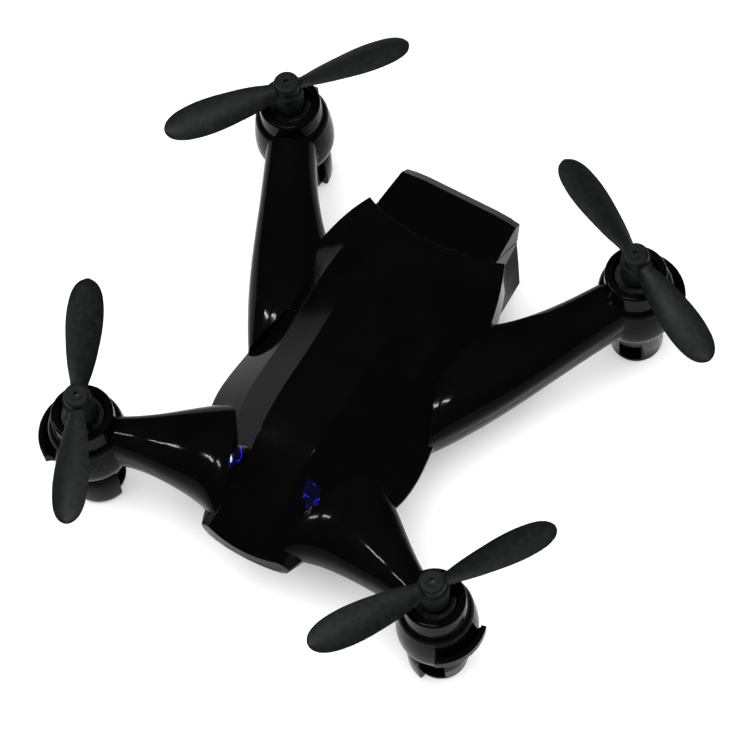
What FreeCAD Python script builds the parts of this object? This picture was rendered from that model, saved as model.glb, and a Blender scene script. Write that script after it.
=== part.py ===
import FreeCAD, Part
import math
import os

import Sketcher
from FreeCAD import Placement, Rotation, Vector

# Palm-sized quadcopter. Millimetres; +Z is up, the nose with its two eyes points along -Y, and the
# origin is on the standing surface, midway between the four motor axes.

doc = FreeCAD.newDocument("palm_drone")
sheet = doc.addObject("Spreadsheet::Sheet", "Sizes")
sheet_rows = []


class Size:
    """A length or angle that FreeCAD can follow: the text of an expression, and its value now."""

    def __init__(self, text, value):
        self.text = text
        self.value = value

    def __add__(self, other):
        other = as_size(other)
        return Size("(%s + %s)" % (self.text, other.text), self.value + other.value)

    def __sub__(self, other):
        other = as_size(other)
        return Size("(%s - %s)" % (self.text, other.text), self.value - other.value)

    def __mul__(self, factor):
        return Size("(%s * %g)" % (self.text, factor), self.value * factor)

    def __truediv__(self, divisor):
        return Size("(%s / %g)" % (self.text, divisor), self.value / divisor)

    def __neg__(self):
        return Size("(-%s)" % self.text, -self.value)


def as_size(number):
    return number if isinstance(number, Size) else Size("(%g)" % number, float(number))


def driving(name, value, note):
    """Put one driving dimension into the sheet and give back the Size that follows its cell."""
    row = len(sheet_rows) + 1
    sheet_rows.append(name)
    sheet.set("A%d" % row, note)
    sheet.set("B%d" % row, str(value))
    sheet.setAlias("B%d" % row, name)
    return Size("Sizes." + name, float(value))


# ---------------------------------------------------------------- driving dimensions
# layout of the airframe
track = driving("track", 61.0, "left to right, between motor axes")
wheelbase = driving("wheelbase", 60.2, "front to rear, between motor axes")
split_height = driving("split_height", 15.0, "height of the line where the two shells meet")
arm_lift = driving("arm_lift", 1.2, "widest line of the arms above the split line")
split_gap = driving("split_gap", 0.12, "open line between the two shells")
shell_wall = driving("shell_wall", 1.3, "wall of the moulded shells")
seat_clearance = driving("seat_clearance", 0.05, "all round, for parts glued or pressed in")

# motor pod and foot
foot_radius = driving("foot_radius", 4.1, "outside of the foot cup")
foot_bore = driving("foot_bore", 3.0, "inside of the foot cup")
foot_round = driving("foot_round", 1.15, "rounding of the foot's lower edge")
foot_floor = driving("foot_floor", 1.0, "thickness of the foot's floor")
foot_top = driving("foot_top", 8.0, "height where the foot meets the bulb")
bulb_radius = driving("bulb_radius", 6.2, "widest radius of the bulb")
bulb_level = driving("bulb_level", 12.6, "height of the bulb's widest line")
bulb_lower_arc = driving("bulb_lower_arc", 7.5, "belly of the bulb below its widest line")
bulb_upper_arc = driving("bulb_upper_arc", 30.0, "belly of the bulb above its widest line")
shoulder_radius = driving("shoulder_radius", 5.75, "radius where the bulb turns over to its ledge")
shoulder_height = driving("shoulder_height", 18.3, "height where the bulb turns over to its ledge")
shoulder_arc = driving("shoulder_arc", 1.6, "rounding from the bulb to the ledge")
ledge_radius = driving("ledge_radius", 4.98, "foot of the collar on the ledge")
ledge_height = driving("ledge_height", 19.7, "height of the ledge")
collar_radius = driving("collar_radius", 4.75, "outside of the collar round the motor, at its top")
collar_height = driving("collar_height", 3.6, "collar above the ledge")
collar_round = driving("collar_round", 0.4, "rounding of the collar's top edge")
window_width = driving("window_width", 3.4, "width of a foot window")
window_height = driving("window_height", 4.2, "height of a foot window")
window_sill = driving("window_sill", 0.6, "height of the window's sill above the foot's floor")

# guard lip beside each pod
lip_inner = driving("lip_inner", 6.55, "inside radius of the guard lip")
lip_outer = driving("lip_outer", 7.2, "outside radius of the guard lip")
lip_shelf = driving("lip_shelf", 5.6, "height where the lip's flare leaves the foot")
lip_shelf_thickness = driving("lip_shelf_thickness", 1.0, "thickness of the flare")
lip_top = driving("lip_top", 11.6, "top of the guard lip")
lip_knee = driving("lip_knee", 9.2, "height where the flare turns up into the lip")
lip_flare = driving("lip_flare", 4.4, "belly of the flare under the lip")
lip_sweep = driving("lip_sweep", 90.0, "degrees that the guard lip covers")

# motor
motor_radius = driving("motor_radius", 3.5, "motor can")
motor_length = driving("motor_length", 11.6, "length of the motor can")
motor_recess = driving("motor_recess", 0.8, "motor's face below the collar's top")
end_cap_radius = driving("end_cap_radius", 3.3, "plastic end cap under the can")
end_cap_height = driving("end_cap_height", 1.6, "height of the end cap")
bush_radius = driving("bush_radius", 1.2, "bearing boss on the motor's face")
bush_height = driving("bush_height", 0.3, "height of the bearing boss")
shaft_radius = driving("shaft_radius", 0.4, "motor shaft")
shaft_clearance = driving("shaft_clearance", 0.05, "running fit of the shaft in its bearing")
shaft_engagement = driving("shaft_engagement", 6.0, "length of shaft inside the motor")

# propeller
propeller_radius = driving("propeller_radius", 20.0, "axis to blade tip")
hub_clearance = driving("hub_clearance", 0.6, "hub above the motor's face")
hub_base_radius = driving("hub_base_radius", 2.35, "lower tier of the hub")
hub_base_height = driving("hub_base_height", 4.5, "height of the hub's lower tier")
hub_cap_radius = driving("hub_cap_radius", 2.0, "upper tier of the hub")
hub_cap_height = driving("hub_cap_height", 2.25, "height of the hub's upper tier")
hub_round = driving("hub_round", 0.5, "rounding of the hub's top edge")
hub_ring_radius = driving("hub_ring_radius", 0.95, "raised ring round the shaft hole")
hub_ring_height = driving("hub_ring_height", 0.15, "height of the raised ring")
shaft_sink = driving("shaft_sink", 0.7, "end of the shaft below the top of the hub")
blade_level = driving("blade_level", 0.3, "blade's line above the hub's step")
blade_thickness = driving("blade_thickness", 0.85, "thickest section of the blade")
blade_camber = driving("blade_camber", 0.35, "arch of the blade's section")

# battery module
battery_half = driving("battery_half", 8.5, "half width of the battery case")
battery_floor = driving("battery_floor", 11.7, "underside of the battery case")
battery_roof = driving("battery_roof", 19.3, "top of the part inside the shell")
battery_front = driving("battery_front", 4.5, "front end of the battery case, ahead of centre")
battery_wall = driving("battery_wall", 0.8, "wall of the battery case")
battery_clearance = driving("battery_clearance", 0.35, "all round the case in its bay")
seam_middle = driving("seam_middle", 19.6, "canopy's rear edge at the centre line")
seam_radius = driving("seam_radius", 23.6, "bow of the canopy's rear edge")
seam_open = driving("seam_open", 0.2, "open line between canopy and battery")
cradle_front = driving("cradle_front", 20.8, "cradle's side wall at its front end")
cradle_rear = driving("cradle_rear", 15.4, "cradle's side wall at the tail")
cradle_end = driving("cradle_end", 29.4, "rear face of the cradle, at the top of its wall")
cradle_foot = driving("cradle_foot", 23.8, "the same slanted face, carried down to the standing surface")
tail_height = driving("tail_height", 19.4, "height where the slanted face ends")
tail_back = driving("tail_back", 30.8, "rear end of the battery's lid")
nose_reach = driving("nose_reach", 35.5, "front of the nose's bowed edge")
nose_bow = driving("nose_bow", 26.0, "radius of the nose's bowed edge")

# inside the airframe
bay_depth = driving("bay_depth", 0.3, "room ahead of the battery case")
board_level = driving("board_level", 9.2, "underside of the flight board")
board_thickness = driving("board_thickness", 1.0, "flight board")
board_half = driving("board_half", 7.0, "half width of the flight board")
board_front = driving("board_front", 22.5, "front edge of the flight board, ahead of centre")
board_rear = driving("board_rear", 5.5, "rear edge of the flight board, ahead of centre")
post_radius = driving("post_radius", 1.5, "posts that carry the flight board")
screw_radius = driving("screw_radius", 0.7, "thread of the case screws")
screw_head_radius = driving("screw_head_radius", 1.3, "head of the case screws")
screw_head_height = driving("screw_head_height", 0.8, "height of the screw's head")
screw_length = driving("screw_length", 9.0, "screw under its head")
screw_seat = driving("screw_seat", 9.6, "level of the seat of the screw's head")
screw_x = driving("screw_x", 11.3, "case screws from the centre line")
screw_front_y = driving("screw_front_y", 13.5, "front case screws ahead of centre")
screw_rear_y = driving("screw_rear_y", 11.5, "rear case screws behind centre")
boss_radius = driving("boss_radius", 2.0, "bosses round the case screws")
lead_radius = driving("lead_radius", 0.5, "pair of motor leads")

# eyes and switch
eye_x = driving("eye_x", 6.5, "centre of an eye from the centre line")
eye_y = driving("eye_y", 24.9, "centre of an eye ahead of centre")
eye_half_width = driving("eye_half_width", 1.4, "half width of the eye's window")
eye_half_length = driving("eye_half_length", 1.7, "half length of the eye's window")
eye_clearance = driving("eye_clearance", 0.06, "round the lens in its window")
switch_y = driving("switch_y", 15.0, "middle of the power switch ahead of centre")
switch_travel = driving("switch_travel", 2.0, "travel of the switch knob")
knob_half_width = driving("knob_half_width", 0.9, "half width of the knob")
knob_half_length = driving("knob_half_length", 1.0, "half length of the knob")
knob_stand = driving("knob_stand", 0.7, "knob below the belly")
knob_clearance = driving("knob_clearance", 0.3, "round the knob in its slot")

pod_x = track / 2
pod_y = wheelbase / 2
collar_top = ledge_height + collar_height
motor_top = collar_top - motor_recess
motor_bottom = motor_top - motor_length
motor_seat = motor_bottom - end_cap_height
motor_bore = motor_radius + seat_clearance
hub_bottom = motor_top + hub_clearance
hub_step = hub_bottom + hub_base_height
hub_top = hub_step + hub_cap_height
shaft_bottom = motor_top - shaft_engagement
shaft_top = hub_top - shaft_sink

# Cross-sections of the body, from tail to nose. Each gives its distance along Y, then half width and
# height of the ridge, the middle crease and the side edge, then of the chine and the floor.
BODY_SECTIONS = [
    ("rear", 23.2, (5.9, 22.0), (9.1, 21.6), (11.7, 21.1), (11.3, 9.5), (8.2, 7.0)),
    ("shoulder", 14.5, (5.5, 25.2), (10.2, 23.3), (14.7, 20.6), (13.2, 9.6), (9.5, 6.0)),
    ("middle", 4.3, (5.1, 27.4), (10.6, 23.9), (15.8, 18.2), (14.6, 9.6), (10.0, 5.8)),
    ("crest", -7.0, (4.6, 28.3), (10.4, 23.2), (16.3, 15.7), (14.8, 9.8), (10.0, 5.8)),
    ("waist", -18.0, (4.6, 27.9), (10.2, 22.4), (16.3, 15.6), (14.2, 10.0), (9.4, 5.9)),
    ("brow", -23.4, (4.2, 26.6), (8.6, 22.0), (13.6, 15.6), (12.0, 10.4), (8.2, 6.6)),
    ("crease", -28.2, (4.0, 23.7), (7.2, 20.4), (9.8, 15.6), (8.8, 10.8), (6.4, 8.4)),
    ("tip", -36.0, (6.4, 16.3), (6.8, 16.0), (7.1, 15.6), (6.8, 14.9), (6.2, 14.7)),
]
SECTION_POINTS = ("ridge", "middle", "edge", "chine", "floor")

# The tail, which the battery module and its cradle share.
TAIL_SECTIONS = [
    ("tail_root", 17.0, (4.4, 23.4), (7.6, 22.6), (10.9, 21.2), (12.0, 7.8), (10.4, 6.4)),
    ("tail_top", 29.3, (6.2, 21.1), (8.0, 20.8), (10.1, 20.3), (11.8, 7.8), (10.2, 6.4)),
    ("tail_end", 31.0, (6.0, 19.4), (7.9, 19.2), (9.9, 18.7), (11.6, 7.8), (10.0, 6.4)),
]


# ---------------------------------------------------------------- modelling helpers
def origin_plane(body, role):
    return [feature for feature in body.Origin.OriginFeatures if feature.Role == role][0]


def new_sketch(body, name, role, offset=None):
    """A sketch on one of the body's own planes, moved along the plane's normal by a Size."""
    sketch = body.newObject("Sketcher::SketchObject", name)
    sketch.AttachmentSupport = (origin_plane(body, role), [""])
    sketch.MapMode = "FlatFace"
    if offset is not None:
        sketch.AttachmentOffset = Placement(Vector(0, 0, offset.value), Rotation())
        sketch.setExpression("AttachmentOffset.Base.z", offset.text)
    return sketch


def arc_between(start, end, radius, bulge):
    """The minor arc from start to end, on the left of the chord when bulge is +1."""
    chord = end - start
    half = chord.Length / 2
    sagitta = radius - math.sqrt(radius * radius - half * half)
    side = Vector(-chord.y, chord.x, 0).normalize() * bulge
    return Part.Arc(start, start + chord / 2 + side * sagitta, end)


def outline(sketch, corners):
    """Close a loop through the corners. A corner is (x, y), or (x, y, radius, bulge) when an arc of
    that radius leads from it to the next corner."""
    sizes = [tuple(as_size(entry) for entry in corner[:3]) + tuple(corner[3:]) for corner in corners]
    points = [Vector(corner[0].value, corner[1].value, 0) for corner in sizes]
    count = len(corners)
    flipped = set()
    for index, corner in enumerate(sizes):
        start = points[index]
        end = points[(index + 1) % count]
        if len(corner) > 2:
            arc = arc_between(start, end, corner[2].value, corner[3])
            sketch.addGeometry(arc, False)
            if (sketch.Geometry[index].StartPoint - start).Length > 1e-6:
                flipped.add(index)
        else:
            sketch.addGeometry(Part.LineSegment(start, end), False)
    for index in range(count):
        following = (index + 1) % count
        end_point = 1 if index in flipped else 2
        start_point = 2 if following in flipped else 1
        sketch.addConstraint(Sketcher.Constraint("Coincident", index, end_point, following, start_point))
    for index, corner in enumerate(sizes):
        point = 2 if index in flipped else 1
        pin_corner(sketch, index, point, corner)
    for index, corner in enumerate(sizes):
        if len(corner) > 2:
            held = sketch.addConstraint(Sketcher.Constraint("Radius", index, corner[2].value))
            sketch.setExpression("Constraints[%d]" % held, corner[2].text)


def pin_corner(sketch, index, point, corner):
    """Hold the point of one piece of the loop at its two Sizes from the origin."""
    for kind, axis, size in (("DistanceX", -2, corner[0]), ("DistanceY", -1, corner[1])):
        if abs(size.value) < 1e-9:
            sketch.addConstraint(Sketcher.Constraint("PointOnObject", index, point, axis))
        elif size.value > 0:
            held = sketch.addConstraint(Sketcher.Constraint(kind, -1, 1, index, point, size.value))
            sketch.setExpression("Constraints[%d]" % held, size.text)
        else:
            held = sketch.addConstraint(Sketcher.Constraint(kind, index, point, -1, 1, -size.value))
            sketch.setExpression("Constraints[%d]" % held, "-" + size.text)


def new_body(name, x=None, y=None, z=None):
    """A PartDesign body whose place follows the given Sizes."""
    body = doc.addObject("PartDesign::Body", name)
    place(body, x, y, z)
    return body


def place(item, x=None, y=None, z=None):
    for axis, size in (("x", x), ("y", y), ("z", z)):
        if size is not None:
            item.setExpression("Placement.Base." + axis, as_size(size).text)


def revolve(body, name, corners, degrees=None):
    """Turn a profile drawn in X and Z about the Z axis."""
    profile = new_sketch(body, name + "_profile", "XZ_Plane")
    outline(profile, corners)
    turn = body.newObject("PartDesign::Revolution", name)
    turn.Profile = profile
    turn.ReferenceAxis = (profile, ["V_Axis"])
    turn.Angle = 360
    if degrees is not None:
        turn.setExpression("Angle", degrees.text)
    return turn


def pad(body, name, corners, bottom, height):
    """Raise an outline drawn in X and Y from the level bottom by height."""
    profile = new_sketch(body, name + "_outline", "XY_Plane", as_size(bottom))
    outline(profile, corners)
    block = body.newObject("PartDesign::Pad", name)
    block.Profile = profile
    height = as_size(height)
    block.Length = height.value
    block.setExpression("Length", height.text)
    return block


def rectangle(half_x, half_y, middle_x=0, middle_y=0):
    half_x, half_y, middle_x, middle_y = (as_size(v) for v in (half_x, half_y, middle_x, middle_y))
    return [
        (middle_x - half_x, middle_y - half_y),
        (middle_x + half_x, middle_y - half_y),
        (middle_x + half_x, middle_y + half_y),
        (middle_x - half_x, middle_y + half_y),
    ]


def box(name, low, high):
    """A Part box between two corners given as Sizes."""
    item = doc.addObject("Part::Box", name)
    low = [as_size(v) for v in low]
    high = [as_size(v) for v in high]
    for side, a, b in zip(("Length", "Width", "Height"), low, high):
        item.setExpression(side, (b - a).text)
    place(item, *low)
    return item


def cylinder(name, radius, bottom, top, x=0, y=0):
    item = doc.addObject("Part::Cylinder", name)
    item.setExpression("Radius", as_size(radius).text)
    item.setExpression("Height", (as_size(top) - bottom).text)
    place(item, x, y, bottom)
    return item


def joined(name, items):
    item = doc.addObject("Part::MultiFuse", name)
    item.Shapes = items
    return item


def shared(name, first, second):
    item = doc.addObject("Part::Common", name)
    item.Base = first
    item.Tool = second
    return item


def cut(name, first, second):
    item = doc.addObject("Part::Cut", name)
    item.Base = first
    item.Tool = second
    return item


nodes = []


def node(item, label):
    """Name a finished sub-part; its label is its node's name."""
    item.Label = label
    nodes.append(item)
    return item


# ---------------------------------------------------------------- body form and its cavity
def body_sizes(sections):
    """Driving sizes for every section: its station along Y and the corners of its half outline."""
    table = []
    for name, station, *corners in sections:
        along = driving(name + "_station", abs(station), "distance of the section from the centre")
        along = along if station > 0 else -along
        held = {}
        for point, (half, height) in zip(SECTION_POINTS, corners):
            held[point] = (
                driving("%s_%s_half" % (name, point), half, "half width"),
                driving("%s_%s_height" % (name, point), height, "height"),
            )
        table.append((name, along, held))
    return table


def section_corners(held, inset):
    """The closed outline of one section, drawn inside the real one by the inset."""
    right = []
    for point, lowering in (("ridge", 1.0), ("middle", 1.0), ("edge", 0.3)):
        half, height = held[point]
        right.append((half - inset, height - inset * lowering))
    right.append((held["edge"][0] - inset, split_height))
    for point in ("chine", "floor"):
        half, height = held[point]
        right.append((half - inset, height + inset))
    left = [(-half, height) for half, height in reversed(right)]
    return right + left


def lofted(name, table, inset, ruled):
    """A body lofted through the sections of the table."""
    body = new_body(name)
    sketches = []
    for section, along, held in table:
        sketch = new_sketch(body, "%s_%s" % (name, section), "XZ_Plane", -along)
        outline(sketch, section_corners(held, inset))
        sketches.append(sketch)
    loft = body.newObject("PartDesign::AdditiveLoft", name + "_loft")
    loft.Profile = sketches[0]
    loft.Sections = sketches[1:]
    loft.Ruled = ruled
    return body


body_table = body_sizes(BODY_SECTIONS)
tail_table = body_sizes(TAIL_SECTIONS)
no_inset = as_size(0)
cabin_form = lofted("cabin_form", body_table[:-1], no_inset, False)
nose_form = lofted("nose_form", body_table[-2:], no_inset, True)
cabin_room = lofted("cabin_room", body_table[1:-1], shell_wall, False)

# ---------------------------------------------------------------- arms
# Each station of an arm gives its two edges in plan, then the rise of the crown and the drop of the
# keel from the arm's widest line.
REAR_ARM = [
    ((33.2, 27.7), (26.9, 31.1), 4.3, 6.4),
    ((30.9, 22.4), (23.9, 26.2), 4.2, 6.4),
    ((27.6, 15.3), (20.7, 21.4), 4.1, 6.6),
    ((24.1, 7.5), (17.4, 17.4), 4.2, 7.0),
    ((20.2, -0.2), (14.2, 14.4), 5.0, 7.8),
    ((15.8, -7.4), (9.0, 12.0), 4.6, 8.6),
]
FRONT_ARM = [
    ((30.6, -26.9), (29.6, -32.9), 4.3, 6.4),
    ((26.3, -25.6), (24.6, -31.6), 4.1, 6.4),
    ((21.7, -22.4), (20.4, -30.9), 4.1, 6.6),
    ((17.7, -19.2), (15.5, -30.9), 4.8, 6.6),
    ((12.8, -16.0), (10.4, -31.5), 6.2, 6.2),
    ((6.0, -15.0), (5.2, -34.0), 4.8, 5.6),
]
ARM_SQUARENESS = 2.4
arm_level = split_height + arm_lift
ARM_POINTS = 16


def arm_ring(outer, inner, rise, drop, side, inset):
    """One closed section of an arm: a rounded loop that stands upright across the arm."""
    outer = Vector(side * outer[0], outer[1], 0)
    inner = Vector(side * inner[0], inner[1], 0)
    middle = (outer + inner) / 2
    half = (outer - inner) / 2
    half = half * ((half.Length - inset) / half.Length)
    rise = rise - inset
    drop = drop - inset
    points = []
    for step in range(ARM_POINTS):
        angle = 2 * math.pi * step / ARM_POINTS
        across = math.copysign(abs(math.cos(angle)) ** (2 / ARM_SQUARENESS), math.cos(angle))
        upward = math.copysign(abs(math.sin(angle)) ** (2 / ARM_SQUARENESS), math.sin(angle))
        height = arm_level.value + upward * (rise if upward > 0 else drop)
        spot = middle + half * across
        points.append(Vector(spot.x, spot.y, height))
    curve = Part.BSplineCurve()
    curve.interpolate(points, PeriodicFlag=True)
    return Part.Wire([curve.toShape()])


def arm(name, stations, side, inset=0):
    item = doc.addObject("Part::Feature", name)
    rings = [arm_ring(*station, side, inset) for station in stations]
    item.Shape = Part.makeLoft(rings, True, False)
    return item


PODS = {
    "front_left": (-1, -1),
    "front_right": (1, -1),
    "rear_left": (-1, 1),
    "rear_right": (1, 1),
}


def pod_place(side, end):
    return pod_x * side, pod_y * end


# ---------------------------------------------------------------- pods
def pod(name, side, end):
    """The turned form of one pod: foot, bulb, ledge and collar, solid for now."""
    body = new_body(name, *pod_place(side, end))
    revolve(
        body,
        name + "_turn",
        [
            (0, 0),
            (foot_radius - foot_round, 0, foot_round, -1),
            (foot_radius, foot_round),
            (foot_radius, foot_top, bulb_lower_arc, -1),
            (bulb_radius, bulb_level, bulb_upper_arc, -1),
            (shoulder_radius, shoulder_height, shoulder_arc, -1),
            (ledge_radius, ledge_height),
            (collar_radius, collar_top - collar_round, collar_round, -1),
            (collar_radius - collar_round, collar_top),
            (0, collar_top),
        ],
    )
    return body


WINDOW_ANGLES = (-75.0, 45.0, 165.0)
LIP_STARTS = {"front": -52.0, "rear": 13.0}


def turned(body, degrees):
    """Turn a body about the pod's axis that it stands on."""
    body.Placement = Placement(body.Placement.Base, Rotation(Vector(0, 0, 1), degrees))
    return body


def foot_windows(name, side, end):
    """Three upright windows round the foot."""
    windows = []
    for number, angle in enumerate(WINDOW_ANGLES):
        window = new_body("window_%s_%d" % (name, number), *pod_place(side, end))
        corners = rectangle(foot_radius / 2, window_width / 2, foot_bore + 0.6)
        pad(window, window.Name + "_cut", corners, foot_floor + window_sill, window_height)
        windows.append(turned(window, angle if side > 0 else 180 - angle))
    return windows


def guard_lip(name, side, end):
    """A shelf and an upright lip that run round part of the pod, where a propeller guard hooks in."""
    lip = new_body("lip_" + name, *pod_place(side, end))
    root = foot_radius - 0.2
    shelf_top = lip_shelf + lip_shelf_thickness
    revolve(
        lip,
        lip.Name + "_turn",
        [
            (root, lip_shelf, lip_flare, 1),
            (lip_outer, lip_knee),
            (lip_outer, lip_top),
            (lip_inner, lip_top),
            (lip_inner, lip_knee + lip_shelf_thickness / 2, lip_flare, -1),
            (root, shelf_top),
        ],
        lip_sweep,
    )
    start = LIP_STARTS[name.split("_")[0]]
    return turned(lip, start if side > 0 else 180 - start - lip_sweep.value)


def motor_room(name, side, end):
    """The bore that the motor drops into, and the hollow foot under it."""
    x, y = pod_place(side, end)
    bore = cylinder("bore_" + name, motor_bore, motor_seat, collar_top + 1, x, y)
    hollow = cylinder("hollow_" + name, foot_bore, foot_floor, motor_seat + 0.1, x, y)
    return [bore, hollow]


# ---------------------------------------------------------------- leads
def rounded_wire(points):
    """Straight runs joined by tangent arcs, each arc as large as its two runs allow."""
    points = [Vector(*point) for point in points]
    edges = []
    start = points[0]
    for before, corner, after in zip(points, points[1:], points[2:]):
        inward = (before - corner).normalize()
        outward = (after - corner).normalize()
        turn = math.pi - inward.getAngle(outward)
        reach = 0.45 * min((corner - before).Length, (after - corner).Length)
        radius = reach / math.tan(turn / 2)
        entry = corner + inward * reach
        leave = corner + outward * reach
        bisector = (inward + outward).normalize()
        middle = corner + bisector * (math.hypot(radius, reach) - radius)
        edges.append(Part.LineSegment(start, entry).toShape())
        edges.append(Part.Arc(entry, middle, leave).toShape())
        start = leave
    edges.append(Part.LineSegment(start, points[-1]).toShape())
    return Part.Wire(edges)


def tube(name, points, radius):
    path = rounded_wire(points)
    first = path.Edges[0]
    start = first.Vertexes[0].Point
    heading = first.tangentAt(first.FirstParameter)
    ring = Part.Wire([Part.Circle(start, heading, radius).toShape()])
    item = doc.addObject("Part::Feature", name)
    item.Shape = path.makePipeShell([ring], True, False)
    return item


REAR_LEAD = [
    (27.2, 24.4, 13.9), (23.9, 18.5, 13.9), (20.4, 12.7, 13.8), (16.6, 7.2, 13.6),
    (13.2, 1.8, 13.0), (11.3, -4.0, 12.0), (9.2, -8.2, 11.1), (6.2, -10.0, 10.75),
]
FRONT_LEAD = [
    (25.2, -29.0, 13.9), (20.9, -27.2, 13.9), (16.3, -25.6, 13.6), (12.0, -23.6, 12.6),
    (8.8, -20.9, 11.2), (6.0, -19.4, 10.75),
]


def lead(name, side, end):
    """The motor's pair of leads: out of the end cap, up beside the can and along the hollow arm."""
    route = REAR_LEAD if end > 0 else FRONT_LEAD
    axis = Vector(pod_x.value * side, pod_y.value * end, 0)
    inward = Vector(route[0][0] * side, route[0][1], 0) - axis
    inward.normalize()
    exit_level = motor_bottom.value - lead_radius.value - 0.1
    points = [
        axis + inward * 2.4 + Vector(0, 0, exit_level),
        axis + inward * 4.25 + Vector(0, 0, exit_level),
        axis + inward * 4.75 + Vector(0, 0, exit_level + 3.4),
    ]
    points += [Vector(side * x, y, z) for x, y, z in route]
    return tube(name, points, lead_radius.value)


def lead_notch(name, side, end):
    """The notch beside the end cap that lets the leads turn upwards."""
    notch = new_body("notch_" + name, *pod_place(side, end))
    route = REAR_LEAD if end > 0 else FRONT_LEAD
    x = route[0][0] * side - pod_x.value * side
    y = route[0][1] - pod_y.value * end
    corners = rectangle(1.4, lead_radius + 0.25, 3.65)
    pad(notch, notch.Name + "_cut", corners, motor_bottom - lead_radius * 2 - 0.2, 4)
    return turned(notch, math.degrees(math.atan2(y, x)))


# ---------------------------------------------------------------- the two shells
pods = {}
arms = {}
arm_rooms = {}
for name, (side, end) in PODS.items():
    stations = REAR_ARM if end > 0 else FRONT_ARM
    pods[name] = pod("pod_" + name, side, end)
    arms[name] = arm("arm_" + name, stations, side)
    arm_rooms[name] = arm("arm_room_" + name, stations, side, shell_wall.value)

# the nose ends in a bowed edge, and the canopy in a bowed seam over the battery
nose_limit = cylinder("nose_limit", nose_bow, 0, 40, 0, nose_bow - nose_reach)
nose = shared("nose", nose_form, nose_limit)
skin = joined("skin", [cabin_form, nose] + list(arms.values()) + list(pods.values()))

far = as_size(60)
upper_block = box("upper_block", (-far, -far, split_height + split_gap / 2), (far, far, far))
lower_block = box("lower_block", (-far, -far, -far), (far, far, split_height - split_gap / 2))
bores = []
for name, (side, end) in PODS.items():
    bores += motor_room(name, side, end)
bored_skin = cut("bored_skin", skin, joined("all_bores", bores))
upper_skin = shared("upper_skin", bored_skin, upper_block)
lower_skin = shared("lower_skin", bored_skin, lower_block)

bay_half = battery_half + battery_clearance
bay_floor = battery_floor - battery_clearance
bay_roof = battery_roof + battery_clearance
bay_front = battery_front + bay_depth
bay = box("bay", (-bay_half, -bay_front, bay_floor), (bay_half, far, bay_roof))
seam_round = cylinder("seam_round", seam_radius, split_height, far, 0, seam_middle + seam_radius)
room = joined("room", [cabin_room, bay] + list(arm_rooms.values()))
upper_open = joined("upper_open", [room, seam_round])
upper_core = cut("upper_core", upper_skin, upper_open)
lower_core = cut("lower_core", lower_skin, room)

# screw bosses stand in both shells; posts in the lower one carry the flight board
SCREWS = [(-1, 1), (1, 1), (-1, -1), (1, -1)]
POSTS = [(-5.4, -20.6), (5.4, -20.6), (-5.4, -8.0), (5.4, -8.0)]


def screw_place(side, end):
    return screw_x * side, (screw_rear_y if end > 0 else screw_front_y * -1)


upper_columns = []
lower_columns = []
screw_holes = []
for number, (side, end) in enumerate(SCREWS):
    x, y = screw_place(side, end)
    top_face = split_height + split_gap / 2
    low_face = split_height - split_gap / 2
    upper_columns.append(cylinder("upper_boss_%d" % number, boss_radius, top_face, far, x, y))
    lower_columns.append(cylinder("lower_boss_%d" % number, boss_radius, 0, low_face, x, y))
    hole_radius = screw_radius + seat_clearance
    hole_top = screw_seat + screw_length + 0.3
    screw_holes.append(cylinder("screw_hole_%d" % number, hole_radius, screw_seat, hole_top, x, y))
    recess = screw_head_radius + 0.15
    screw_holes.append(cylinder("head_recess_%d" % number, recess, 0, screw_seat, x, y))
for number, (x, y) in enumerate(POSTS):
    lower_columns.append(cylinder("post_%d" % number, post_radius, 0, board_level, x, y))
upper_bosses = shared("upper_bosses", joined("upper_columns", upper_columns), upper_skin)
lower_bosses = shared("lower_bosses", joined("lower_columns", lower_columns), lower_skin)

# the cradle holds the battery's tail between two side walls whose edges fall towards the rear
tail_form = lofted("tail_form", tail_table, no_inset, True)
wall_corner = as_size(22.7)
low_side = new_body("low_side", -far / 2)
slope = [
    (16, 0), (cradle_foot, 0), (cradle_end, cradle_rear), (wall_corner, cradle_front),
    (16, cradle_front),
]
profile = new_sketch(low_side, "cradle_side", "YZ_Plane")
outline(profile, slope)
side_pad = low_side.newObject("PartDesign::Pad", "low_side_pad")
side_pad.Profile = profile
side_pad.setExpression("Length", far.text)
open_bay = box("open_bay", (-bay_half, -bay_front, bay_floor), (bay_half, far, far))
cradle_solid = shared("cradle_solid", tail_form, low_side)
cradle_open = joined("cradle_open", [open_bay, upper_core])
cradle = cut("cradle", cradle_solid, cradle_open)

notches = []
windows = []
lips = []
for name, (side, end) in PODS.items():
    notches.append(lead_notch(name, side, end))
    windows += foot_windows(name, side, end)
    lips.append(guard_lip(name, side, end))

# power switch slot in the belly
knob_y = -switch_y + switch_travel / 2
slot = box(
    "switch_slot",
    (-knob_half_width - knob_clearance, -switch_y - switch_travel / 2 - knob_half_length - knob_clearance, 0),
    (knob_half_width + knob_clearance, knob_y + knob_half_length + knob_clearance, 8.5),
)

# eyes
EYE_CORNERS = [(-1.0, 0.85), (0.55, 1.0), (1.0, -0.35), (0.2, -1.0), (-0.75, -0.6)]


def eye_form(name, side, margin):
    """An upright prism over one eye's window."""
    prism = new_body(name, eye_x * side, -eye_y)
    corners = [
        ((eye_half_width - margin) * (px * side), (eye_half_length - margin) * py)
        for px, py in EYE_CORNERS
    ]
    if side < 0:
        corners.reverse()
    pad(prism, name + "_pad", corners, split_height, 20)
    return prism


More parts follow.
